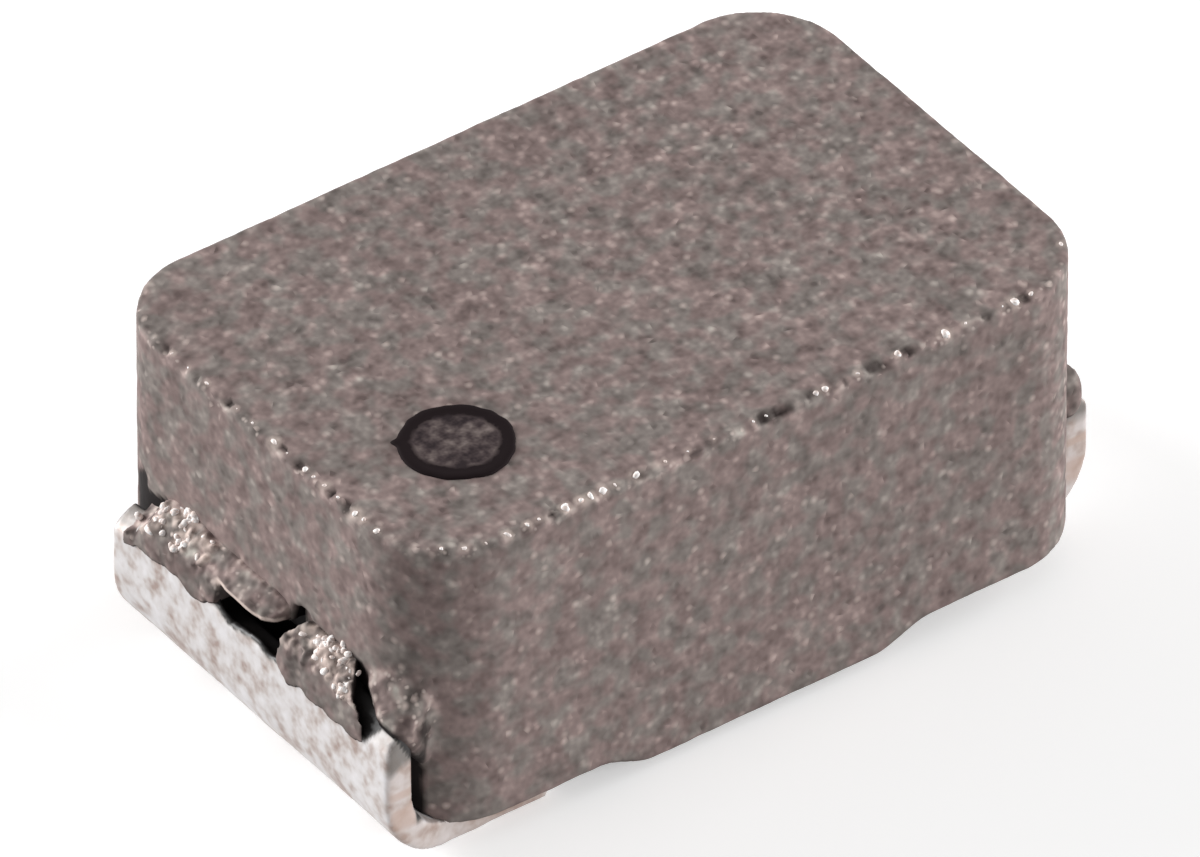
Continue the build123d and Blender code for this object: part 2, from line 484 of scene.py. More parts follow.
def rounded_plan(points):
    """Distance outside the block's plan outline, and its direction in the plan."""
    reach = np.abs(points[:, :2]) - (np.array([half_length, half_width]) - corner_radius)
    past = np.maximum(reach, 0)
    length = np.hypot(past[:, 0], past[:, 1])
    distance = np.where(length > 0, length, np.max(reach, axis=1)) - corner_radius
    direction = np.where(
        (length > 1e-9)[:, None], past / np.maximum(length, 1e-9)[:, None],
        np.where((reach[:, 0] > reach[:, 1])[:, None], np.array([1.0, 0.0]), np.array([0.0, 1.0])),
    )
    return distance, direction * np.sign(points[:, :2])


def snapped_to_skin(points):
    """Move points that lie near the block's true skin onto it, so that its edges come out crisp."""
    x, y, z = points.T
    distance, direction = rounded_plan(points)
    floor_z = underside_z(x)
    upper = z > (floor_z + top_z) / 2
    rise = np.where(upper, z - top_z, floor_z - z)
    side = distance + BLOCK_EDGE
    end = rise + BLOCK_EDGE
    both = (side > 0) & (end > 0)
    corner = np.hypot(np.maximum(side, 0), np.maximum(end, 0))
    gap = np.where(both, corner, np.maximum(side, end)) - BLOCK_EDGE
    weight_side = np.where(both, side / np.maximum(corner, 1e-9), side >= end)
    weight_end = np.where(both, end / np.maximum(corner, 1e-9), side < end)
    move = np.zeros_like(points)
    move[:, :2] = direction * (weight_side * gap)[:, None]
    move[:, 2] = np.where(upper, 1, -1) * weight_end * gap
    near = np.abs(gap) < 0.9 * BLOCK_VOXEL
    # The hollows, notches and residue at the ends stay as they are
    across = y * np.sign(x)
    plain_corner = (across < -0.37) & (z > 0.21) | (across < -0.48)
    near &= (z > 0.475) | (np.abs(x) < 0.79) | plain_corner
    return points - move * near[:, None]


def roughen_block(block):
    """Grain all over the block, and chips along its top edge at the front and the left."""
    points = snapped_to_skin(vertex_values(block, "co"))
    set_points(block, points)
    normals = vertex_values(block, "normal")
    grain = 0.0005 * smooth_noise(points, 0.018, 1) + 0.0007 * smooth_noise(points, 0.036, 2)
    swell = 0.0008 * smooth_noise(points, 0.13, 3)
    moved = points + normals * (grain + swell)[:, None]
    distance, direction = rounded_plan(points)
    rim = np.hypot(np.minimum(distance, 0), np.minimum(points[:, 2] - top_z, 0))
    near = np.clip(1 - rim / 0.02, 0, 1)
    worn = np.clip(0.5 - (direction[:, 0] * 0.75 + direction[:, 1] * 0.66) * 1.2, 0.12, 1)
    chips = np.clip(smooth_noise(points, 0.03, 4) - 0.1, 0, 1)
    chips += 0.7 * np.clip(smooth_noise(points, 0.017, 5) - 0.15, 0, 1)
    inward = np.concatenate([-direction, -np.ones((len(points), 1))], axis=1) / math.sqrt(2)
    moved += inward * (near * worn * chips * 0.014)[:, None]
    lumps = residue_weight(points)
    bulge = 0.005 * smooth_noise(points, 0.02, 6) + 0.004 * smooth_noise(points, 0.04, 7)
    moved += normals * (lumps * bulge)[:, None]
    pits = near * worn * np.clip(smooth_noise(points, 0.036, 8) * 2.2 - 0.85, 0, 1)
    holes = edge_pits(points)
    hollow = corner_hollow(points)
    moved += inward * (holes * 0.012)[:, None]
    moved[:, :2] -= direction * (hollow * 0.004)[:, None]
    set_points(block, moved)
    # Painted shade in pits: small dark pits along the front and left top edges and the hollows of
    # broken-out grains; the residue is a little darker
    shade_attribute(block, "pit", np.maximum.reduce([pits, holes, 0.3 * lumps]))
    # More grain contrast and more painted glints along the worn top edge and on the residue
    shade_attribute(block, "rim", np.maximum(0.9 * near * worn, 0.9 * lumps))
    # Painted shade, stored as gap: near black behind the terminals and in the far corner hollow
    shade_attribute(block, "gap", np.maximum(shade_behind_terminals(points), hollow))
    # Painted highlight: the compound is painted paler round the bright grains along the top edge
    glints = [(x, y, top_z - 0.004, size) for x, y, size in edge_spots()]
    shade_attribute(block, "pale", painted_glow_round(points, glints, 0.009, 0.62))
    below_edge = fade(top_z - 0.01 - points[:, 2], 0.01)
    shade_attribute(block, "calm", below_edge * (1 - np.clip(lumps, 0, 1)))


def edge_places(front, left, inset, shift):
    """Places and sizes along the top edge, from the tables for the front and the left."""
    places = [(x + shift[0], inset - half_width, size) for x, size in front]
    return places + [(inset - half_length, y + shift[1], size) for y, size in left]


def edge_pits(points):
    """Where grains have broken out of the top edge, at the front and the left: hollows that also
    get painted shade.
    """
    weight = np.zeros(len(points))
    stretch = np.array([0.7, 0.7, 1.3])
    for x, y, size in edge_places(FRONT_PITS, LEFT_PITS, 0.01, (0.006, 0.012)):
        reach = np.linalg.norm((points - np.array([x, y, top_z])) * stretch, axis=1)
        weight = np.maximum(weight, np.clip(1.7 - reach / (0.0105 * size), 0, 1))
    return weight * np.clip(0.8 + 1.3 * smooth_noise(points, 0.016, 9), 0, 1)


def edge_spots():
    """Places and sizes of the bright grains along the top edge."""
    inset = 0.015
    spots = edge_places(FRONT_SPARKLES, LEFT_SPARKLES, inset, (0.009, 0.014))
    for angle, size in CORNER_SPARKLES:
        t = math.radians(angle)
        centre_x = math.copysign(half_length - corner_radius, -math.cos(t))
        reach = corner_radius - inset
        centre_y = corner_radius - half_width
        spots.append((centre_x - reach * math.cos(t), centre_y - reach * math.sin(t), size))
    return spots


def painted_glow_round(points, spots, radius, most):
    """Painted highlight round bright grains: how much paler the compound is painted there, from
    their places and sizes.
    """
    glow = np.zeros(len(points))
    for x, y, z, size in spots:
        reach = np.linalg.norm(points - np.array([x, y, z]), axis=1)
        near = np.clip(1.7 - reach / (radius * size), 0, 1)
        glow = np.maximum(glow, min(size, 1.3) / 1.3 * most * near)
    return glow


def corner_hollow(points):
    """The hollow at the far left corner, above the end of the flash: a shallow recess painted near
    black as shade.
    """
    x, across, height = points.T
    top = along_table(across, HOLLOW_TOP)
    bottom = along_table(across, HOLLOW_BOTTOM)
    rag = smooth_noise(points, 0.03, 10)
    start, end = HOLLOW_ENDS
    hollow = fade(across - start, 0.008) * fade(top - height, 0.008) * fade(height - 0.25, 0.02)
    hollow = hollow * fade(height - bottom + 0.015 * rag, 0.03)
    return hollow * fade(-0.78 - x, 0.01) * fade(end - across + 0.02 * rag, 0.04)


def residue_weight(points):
    """1 on the corner residue, falling to 0 round it."""
    weight = np.zeros(len(points))
    size = np.array(RESIDUE_SIZE)
    for side in (-1, 1):
        centre = np.array(RESIDUE_CENTRE) * np.array([side, side, 1])
        reach = np.linalg.norm((points - centre) / size, axis=1)
        weight = np.maximum(weight, np.clip(3 * (1.1 - reach), 0, 1))
    return weight


def shade_behind_terminals(points):
    """How much painted shade each point gets in the gaps between the block and a terminal, from 0
    to 1: the shade there is painted near black into the colour.
    """
    x, y, z = points.T
    dark = np.zeros(len(points))
    level = fade(exit_height + 0.004 - z, 0.01)
    for side, (low, high) in terminal_boxes.items():
        along = x * side
        across = y * side
        beside = across - end_shift(side) * side
        wall = fade(along - 0.84, 0.01)
        behind = within(y, low.y - 0.01, high.y + 0.01, 0.02) * fade(along - 0.875, 0.02)
        slot = fade(slot_half_width + 0.01 - np.abs(beside), 0.008) * wall
        crack = fade(along_table(z, GAP_EDGE) - across, 0.01) * wall
        crack = crack * fade(past_crack(along, across) + 0.012, 0.006) * fade(0.458 - z, 0.008)
        hole = fade(0.925 - along, 0.008) * fade(along - 0.86, 0.01)
        hole = hole * within(beside, 0.055, 0.155, 0.008) * within(z, 0.36, 0.462, 0.008)
        # Painted shade behind the terminal, in the slot, in the hole above it and in the crack
        dark = np.maximum.reduce([dark, level * np.maximum(behind, slot), hole, crack])
    return dark


def past_crack(along, across):
    """How far a point lies past the end of the flash, measured across the block."""
    return across - along_table(along, FLASH_END)


# Flash and lip

def flash_section(side, top, low, proud):
    """Side view of the flash on an exit bend."""
    inner_x = half_length - 0.03
    step = (face_x + proud - half_length) / 8
    line = ((0.4, 0), (3, 0.012), (5.4, 0.03), (7.2, 0.052), (8, 0.08))
    outline = [(inner_x, top)] + [(half_length + out * step, top - down) for out, down in line]
    outline += [(half_length + 8 * step, low), (half_length + 6 * step, low), (inner_x, low)]
    return [(side * x, z) for x, z in outline]


def flash_fall(across):
    """How much lower the flash is towards its far end."""
    return flash_fall_depth * float(eased((across - droop_start) / 0.065))


def flash_slices(side):
    """Thin upright slices that make up the flash on both sides of the slot."""
    slices = []
    overlap = 0.002
    for sign, edge in ((-side, FAR_FLASH_EDGE), (side, NEAR_FLASH_EDGE)):
        last = min(edge[-1][0], 0.44) if side > 0 > sign else edge[-1][0]
        places = np.linspace(edge[0][0], last, 35)
        for start, end in zip(places[:-1], places[1:]):
            middle = (start + end) / 2
            seed = np.array([[side, sign * middle, 0.0]])
            swell = float(smooth_noise(seed, 0.05, 33)[0])
            rag = float(smooth_noise(seed, 0.018, 32)[0])
            low = float(along_table(middle, edge)) + 0.005 * rag
            top = flash_top + 0.006 * swell - (flash_fall(middle) if sign != side else 0)
            section = flash_section(side, top, low, 0.004 + 0.0025 * swell)
            ends = mirrored(sign, start, end)
            slices.append(prism("flash", section, along_y, ends[0] - overlap, ends[1] + overlap))
    return slices


def build_flash(side):
    """Compound left on the exit bend, on both sides of the slot, with the lip over the slot."""
    parts = flash_slices(side)
    grains = [flash_grain(side, index) for index in range(coarse_grain_count)]
    grains = [grain for grain in grains if grain]
    parts += [pebble(*grain) for grain in grains]
    if side > 0:
        parts.append(end_lump())
    flash = joined("left_flash" if side < 0 else "right_flash", parts)
    remeshed(flash, FLASH_VOXEL)
    cut(flash, crack_beside_residue(side))
    cut(flash, hole_beside_lip(side))
    flash = joined(flash.name, [flash, slot_lip(side)])
    remeshed(flash, FLASH_VOXEL)
    points = vertex_values(flash, "co")
    normals = vertex_values(flash, "normal")
    upward = fade(normals[:, 2] - 0.3, 0.35)
    rough = (0.0008 + 0.0016 * upward) * smooth_noise(points, 0.013, 41)
    rough = rough + 0.0016 * smooth_noise(points, 0.03, 42)
    set_points(flash, let_down(points + normals * rough[:, None]))
    mark_flash(flash, side, points, normals, grains)
    return flash


def mark_flash(flash, side, points, normals, grains):
    """Where the flash is grainy and pitted, where it gets painted shade (hidden, at the crack end,
    at the slot ends and turned down) and where it gets painted highlight.
    """
    x, y, z = points.T
    along = x * side
    across = y * side
    upward = fade(normals[:, 2] - 0.3, 0.35)
    on_lip = lip_weight(points, side)
    calm = np.maximum(on_lip, fade(-0.385 - across, 0.02))
    if side > 0:
        calm = np.maximum(calm, fade(-0.38 - across, 0.02))
    grainy = upward * np.clip(1.1 + 0.9 * smooth_noise(points, 0.045, 43), 0.4, 1.8)
    # More grain contrast and more painted glints on the flash's upper side and the lip
    shade_attribute(flash, "rim", grainy * (1 - calm) + 0.45 * on_lip)
    # Painted shade, stored as gap: dark where the flash is hidden inside the block, at the crack
    # end, at the slot ends and on faces turned down
    hidden = fade(exit_height - 0.01 - z, 0.02) * fade(half_length - 0.002 - along, 0.01)
    broken = fade(past_crack(along, across) + 0.009, 0.005) * fade(across - 0.33, 0.01)
    slot_ends = within(across, -0.09, 0.2, 0.005) * (1 - on_lip)
    slot_ends = slot_ends * fade(np.abs(normals[:, 1]) - 0.5, 0.2)
    under = fade(-0.2 - normals[:, 2], 0.2)
    gap = np.maximum.reduce([hidden, 0.95 * broken, 0.8 * slot_ends, 0.8 * under])
    shade_attribute(flash, "gap", gap)
    # Darker spots: random mottling, the outer face and every third coarse grain
    pit = np.clip(smooth_noise(points, 0.026, 44) * 1.7 - 0.5, 0, 0.75)
    pit = np.maximum(pit, 0.24 * fade(along - 0.98, 0.012))
    # Painted highlight: the lip's rim, every third coarse grain and the bright grains
    pale = lip_rim_highlight(points, normals, on_lip)
    for index, (spot, size, _) in enumerate(grains):
        reach = np.linalg.norm(points - np.array(spot), axis=1) / size
        near = np.clip(2.2 - 1.5 * reach, 0, 1)
        if index % 3 == 0:
            pale = np.maximum(pale, (0.6 + 0.1 * (index % 4)) * near)
        elif index % 3 == 1:
            pit = np.maximum(pit, 0.5 * near * (1 - pale))
    if side < 0:
        pale = np.maximum(pale, painted_glow_round(points, FLASH_SPARKLES, 0.0072, 0.72))
    shade_attribute(flash, "pit", pit)
    shade_attribute(flash, "pale", pale)


def end_lump():
    """The round lump of compound at the visible end of the right terminal's bend."""
    shape = bmesh.new()
    bmesh.ops.create_icosphere(shape, subdivisions=3, radius=1)
    for vertex in shape.verts:
        vertex.co = Vector([c + r * v for c, r, v in zip(LUMP_CENTRE, LUMP_RADII, vertex.co)])
    return linked("lump", shape)


def lip_weight(points, side):
    """1 on the lip over the slot."""
    across = points[:, 1] * side
    return fade(0.124 - across, 0.004) * fade(across + 0.128, 0.006)


def lip_rim_highlight(points, normals, on_lip):
    """The painted highlight along the lip's lower rim: a pale line where its rounded edge catches
    the light.
    """
    level = within(points[:, 2], 0.392, 0.412, 0.003) * fade(np.abs(points[:, 0]) - 0.94, 0.01)
    return on_lip * level * fade(0.62 - np.abs(normals[:, 2]), 0.2)


def upright_cutter(side, plan):
    """A prism that cuts the flash from above, from a plan of places along and across."""
    return prism("cutter", [(side * x, side * y) for x, y in plan], along_z, 0.2, 0.6)


def crack_beside_residue(side):
    """The open crack between the end of the flash and the compound left at the corner."""
    return upright_cutter(side, FLASH_END + ((1.04, 0.72), (0.80, 0.72), (0.80, FLASH_END[0][1])))


def hole_beside_lip(side):
    """The opening between the near end of the lip and the flash, which slants."""
    return upright_cutter(side, LIP_HOLE)


def slot_lip(side):
    """The tongue of compound over the slot: off the slot's middle, and round at its rim."""
    low, high = 0.396, 0.408
    points = [(x, y, z) for x, y in LIP_RIM for z in (low, high)]
    points += [(0.937, y, flash_top) for y in (-0.1, 0.085)]
    points += [(0.905, y, z) for y in (-0.125, 0.118) for z in (low, flash_top)]
    return hull("lip", [(side * x, side * y, z) for x, y, z in points])


def flash_spot(side, rng, spread):
    """A random place on the upper side of the flash."""
    far = rng.random() < 0.5
    across = rng.uniform(0.14, 0.45) if far else rng.uniform(0.16, 0.42)
    share = rng.uniform(0.02, spread)
    z = flash_top - 0.05 * share ** 1.6 - (flash_fall(across) if far else 0)
    return Vector((side * (half_length + 0.068 * share), (-side if far else side) * across, z))


def flash_grain(side, index):
    """Place, size and random numbers of one coarse grain that sticks out of the flash."""
    rng = np.random.default_rng(1000 + index + (500 if side > 0 else 0))
    spot = flash_spot(side, rng, 0.95)
    far_limit = 0.365 if side < 0 else 0.34
    if spot.y * -side > far_limit:
        return None
    return spot, rng.uniform(0.006, 0.0125), rng


def pebble(centre, size, rng):
    """A small uneven grain: an icosphere stretched and pulled about by noise."""
    shape = bmesh.new()
    bmesh.ops.create_icosphere(shape, subdivisions=2, radius=size)
    stretch = rng.uniform(0.6, 1.35, 3)
    seed = rng.integers(1000)
    spots = np.array([vertex.co for vertex in shape.verts]) / size + seed
    lumps = 1 + 0.32 * smooth_noise(spots, 0.9, 61) + 0.14 * smooth_noise(spots, 0.45, 62)
    for vertex, lump in zip(shape.verts, lumps):
        vertex.co = Vector([a * b for a, b in zip(vertex.co, stretch)]) * lump
    turn = Matrix.Rotation(rng.uniform(0, 6.28), 4, Vector(rng.normal(size=3)).normalized())
    bmesh.ops.transform(shape, matrix=Matrix.Translation(centre) @ turn, verts=shape.verts)
    return linked("grain", shape)


# Terminals

def droop(far):
    """How far the far corner of an exit bend hangs down."""
    return droop_depth * eased((far - droop_start) / 0.13)


def let_down(points):
    """The points, with the far corner of each exit bend hanging a little, as in the photo."""
    x, y, z = points.T
    far = -y * np.sign(x)
    out = fade(np.abs(x) - 0.9, 0.03)
    lowered = points.copy()
    lowered[:, 2] -= droop(far) * fade(z - 0.24, 0.13) * out
    lowered[:, 1] += 0.012 * fade(far - 0.4, 0.06) * out * (x > 0)
    return lowered


def strip_outline(side):
    """Side view of the bent strip: outer line from the tab to the foot's end, and back inside."""
    inner_exit = exit_bend_radius - strip_thickness
    inner_foot = foot_bend_radius - strip_thickness
    exit_x = face_x - exit_bend_radius
    exit_z = exit_height - exit_bend_radius
    foot_x = face_x - foot_bend_radius
    tab_x = half_length - tab_depth
    outer = [(tab_x, exit_height)]
    outer += arc(exit_x, exit_z, exit_bend_radius, 90, 0, 12)
    outer += arc(foot_x, foot_bend_radius, foot_bend_radius, 0, -90, 24)
    outer += [(foot_end_x, 0.0), (foot_end_x, strip_thickness)]
    inner = arc(foot_x, foot_bend_radius, inner_foot, -90, 0, 20)
    inner += arc(exit_x, exit_z, inner_exit, 0, 90, 4)
    inner += [(tab_x, exit_height - strip_thickness)]
    return [(side * x, z) for x, z in outer + inner]


def build_terminal(side, low, high):
    """One terminal: bent strip with its neck, relief slot and ear, and the waviness of plating."""
    name = "left_terminal_clip" if side < 0 else "right_terminal_clip"
    shift = (low.y + high.y) / 2
    strip = prism(name, strip_outline(side), along_y, low.y, high.y)
    inner_x, outer_x = side * (half_length - tab_depth - 0.01), side * half_length
    below, above = exit_height - strip_thickness - 0.01, exit_height + 0.01
    neck = [(outer_x, below), (outer_x, above), (inner_x, above), (inner_x, below)]
    for edge in (-1, 1):
        cut(strip, prism("neck", neck, along_y, *mirrored(edge, neck_half_width, 0.7)))
        cut(strip, foot_corner(side, edge, low.y if edge < 0 else high.y))
    cut_slot(strip, side, shift)
    strip = joined(name, [strip, ear(side, high)])
    remeshed(strip, TERMINAL_VOXEL)
    modified(strip, "SMOOTH", factor=0.5, iterations=5)
    points = vertex_values(strip, "co")
    normals = vertex_values(strip, "normal")
    x, y, z = points.T
    wave = 0.0016 * smooth_noise(points, 0.11, 21) + 0.0008 * smooth_noise(points, 0.035, 22)
    grit = 0.0004 * smooth_noise(points, 0.012, 23)
    moved = points + normals * (wave + grit)[:, None]
    taper = 0.02 * eased((0.93 - x * side) / 0.14) * fade(0.12 - z, 0.05)
    moved[:, 1] -= side * taper * fade((y - shift) * side, high.y - shift)
    moved[:, 2] = np.maximum(moved[:, 2], 0)
    set_points(strip, let_down(moved))
    mark_terminal(strip, side, points, normals)
    return strip


def foot_corner(side, edge, edge_y):
    """What is cut off a corner of the foot to round it."""
    radius = foot_corner_radius
    end_x = side * foot_end_x
    middle_x = end_x + side * radius
    middle_y = edge_y - edge * radius
    outline = [(middle_x - side * radius * math.cos(t), middle_y + edge * radius * math.sin(t))
               for t in np.linspace(0, math.pi / 2, 9)]
    past_x, past_y = end_x - side * 0.01, edge_y + edge * 0.01
    outline += [(middle_x, past_y), (past_x, past_y), (past_x, middle_y)]
    return prism("foot_corner", outline, along_z, -0.05, 0.12)


def cut_slot(strip, side, shift):
    """The relief slot: even towards the block, with a ragged lower edge at the outer face."""
    start, end = shift - slot_half_width, shift + slot_half_width
    below = exit_height - strip_thickness - lip_overlap
    above = exit_height + strip_thickness
    deep = side * (face_x - 0.016)
    back = side * (half_length - slot_depth)
    outline = [(deep, above), (deep, exit_height - slot_drop), (side * half_length, below),
               (back, below), (back, above)]
    cut(strip, prism("slot", outline, along_y, start, end))
    ragged = [(shift + side * y, z) for y, z in SLOT_EDGE]
    ragged += [(ragged[-1][0], above), (ragged[0][0], above)]
    ragged = [(min(max(y, start), end), z) for y, z in ragged]
    cut(strip, prism("slot", ragged, along_x, *mirrored(side, face_x - 0.017, face_x + 0.05)))


def mark_terminal(strip, side, points, normals):
    """Where the strip gets painted shade, near black in the slot, the crack, the far gap and inside
    the bend, where it is darkened olive grey on the cut edges, the far top and the ends of the exit
    bend, and where it is bare.
    """
    x, y, z = points.T
    along = x * side
    across = y * side
    beside = np.abs(across - end_shift(side) * side)
    in_slot = fade(slot_half_width + 0.006 - beside, 0.004) * fade(z - 0.29, 0.01)
    facing_up = fade(normals[:, 2] - 0.25, 0.15) * fade(z - 0.31, 0.01)
    in_slot = in_slot * np.maximum(fade(face_x - 0.0075 - along, 0.003), facing_up)
    edge_line = 0.29 + 1.8 * (along - 0.93)
    line = np.minimum(edge_line, along_table(across, ((0.49, 0.33), (0.545, 0.4), (0.56, 0.5))))
    crack = fade(past_crack(along, across) + 0.012, 0.01) * fade(z - line + 0.004, 0.014)
    crack = crack * fade(across - 0.34, 0.01) * fade(along - 0.91, 0.01)
    cut_edge = fade(np.abs(normals[:, 1]) - 0.55, 0.25)
    olive = cut_edge * fade(across - 0.5, 0.01)
    olive = olive * fade(z - 0.286 + 0.02 * smooth_noise(points, 0.03, 24), 0.02)
    bend_end = fade(across - 0.48, 0.02) * fade(z - 0.34, 0.02)
    far_top = fade(-0.36 - across, 0.02) * fade(z - 0.345, 0.02)
    far_gap = fade(-0.35 - across, 0.01) * fade(0.947 - along, 0.012) * fade(z - 0.36, 0.01)
    far_side = cut_edge * fade(-0.4 - across, 0.01) * fade(z - 0.27, 0.05)
    inside = fade(half_length - 0.004 - along, 0.006) * fade(z - 0.11, 0.02)
    # Painted shade near black in the slot, the crack, the far gap and inside the bend; olive-grey
    # darkening of the tin on the cut edges, the far top and the bend ends
    shade_and_dark_tint = np.maximum.reduce([in_slot, crack, 0.6 * olive, 0.34 * bend_end, 0.42 * far_top,
                               far_gap, 0.6 * far_side, inside])
    shade_attribute(strip, "shade_and_dark_tint", shade_and_dark_tint)
    bands = np.clip(0.35 + 1.5 * smooth_noise(points * np.array([0.3, 0.0, 1.0]), 0.017, 25), 0, 1)
    banded = bands * fade(0.245 - z, 0.02) * fade(z - 0.1, 0.03)
    shade_attribute(strip, "bare", cut_edge * np.clip(0.42 + banded, 0, 1))


def ear(side, high):
    """The welding ear inside the block, folded up on the left and down on the right."""
    outer = -0.405
    inner = outer + strip_thickness
    root_y = inner + 0.07
    middle = exit_height - strip_thickness / 2
    upward = 1 if side < 0 else -1
    tip = high.z if side < 0 else exit_height - strip_thickness - 0.0435
    near = middle - upward * strip_thickness / 2
    far = middle + upward * strip_thickness / 2
    outline = [(root_y, near), (outer + 0.02, near), (outer, near + upward * 0.02), (outer, tip),
               (inner, tip), (inner, far), (root_y, far)]
    return prism("ear", outline, along_x, *mirrored(side, half_length - 0.05, half_length - 0.31))


# Materials

def new_material(name):
    """An empty node material with a Principled shader, and a short way to add nodes."""
    material = bpy.data.materials.new(name)
    material.use_nodes = True
    tree = material.node_tree
    tree.nodes.clear()
    output = tree.nodes.new("ShaderNodeOutputMaterial")
    shader = tree.nodes.new("ShaderNodeBsdfPrincipled")
    tree.links.new(shader.outputs[0], output.inputs[0])
    return material, tree, shader


def feed(tree, made, inputs):
    """Link a node's inputs to sockets, or set them to values."""
    for key, value in inputs.items():
        if isinstance(value, bpy.types.NodeSocket):
            tree.links.new(value, made.inputs[key])
        else:
            made.inputs[key].default_value = value


def node(tree, kind, inputs=None, **settings):
    """A node with its settings and inputs."""
    made = tree.nodes.new(kind)
    for key, value in settings.items():
        setattr(made, key, value)
    feed(tree, made, inputs or {})
    return made


def attribute(tree, name):
    """A number stored on the mesh."""
    return node(tree, "ShaderNodeAttribute", attribute_name=name).outputs["Fac"]


def ramp(tree, factor, stops):
    """A colour ramp from (position, colour) stops."""
    made = node(tree, "ShaderNodeValToRGB", {0: factor})
    elements = made.color_ramp.elements
    while len(elements) < len(stops):
        elements.new(0.5)
    for element, (position, colour) in zip(elements, stops):
        element.position = position
        element.color = (*colour, 1)
    return made.outputs[0]


def fade_between(tree, factor, start, end):
    """A colour ramp from one grey level to another, from (position, level) pairs."""
    return ramp(tree, factor, [(position, (level,) * 3) for position, level in (start, end)])


def maths(tree, operation, *values, clamp=False):
    inputs = dict(enumerate(values))
    return node(tree, "ShaderNodeMath", inputs, operation=operation, use_clamp=clamp).outputs[0]


def vector_maths(tree, operation, inputs, output=0):
    return node(tree, "ShaderNodeVectorMath", inputs, operation=operation).outputs[output]


def mixed(tree, factor, first, second, blend="MIX"):
    """Mix two colours."""
    inputs = {0: factor}
    for key, value in ((6, first), (7, second)):
        inputs[key] = value if isinstance(value, bpy.types.NodeSocket) else (*value, 1)
    return node(tree, "ShaderNodeMix", inputs, data_type="RGBA", blend_type=blend).outputs[2]


def millimetres(tree):
    """Object coordinates in millimetres."""
    metres = node(tree, "ShaderNodeTexCoord").outputs["Object"]
    return vector_maths(tree, "SCALE", {0: metres, "Scale": 1 / MM})


def noise_value(tree, vector, scale, detail=2.0, roughness=0.5):
    inputs = {"Vector": vector, "Scale": scale, "Detail": detail, "Roughness": roughness}
    return node(tree, "ShaderNodeTexNoise", inputs).outputs[0]


def grain_cells(tree, vector, scale):
    """Grains: a random value for each cell, and the distance to its middle."""
    made = node(tree, "ShaderNodeTexVoronoi", {"Vector": vector, "Scale": scale})
    separate = node(tree, "ShaderNodeSeparateColor", {0: made.outputs["Color"]})
    return separate.outputs[0], made.outputs["Distance"]


def bumped(tree, height, distance, strength):
    """A normal from a height, with the distance in metres."""
    inputs = {"Height": height, "Distance": distance, "Strength": strength}
    return node(tree, "ShaderNodeBump", inputs).outputs[0]


def leaning(tree, place):
    """The place, with grains drawn out a little along one slanting direction."""
    lean = facing(-36, 39)
    along = vector_maths(tree, "DOT_PRODUCT", {0: place, 1: lean}, "Value")
    back = vector_maths(tree, "SCALE", {0: lean, "Scale": maths(tree, "MULTIPLY", along, -0.2)})
    return vector_maths(tree, "ADD", {0: place, 1: back})


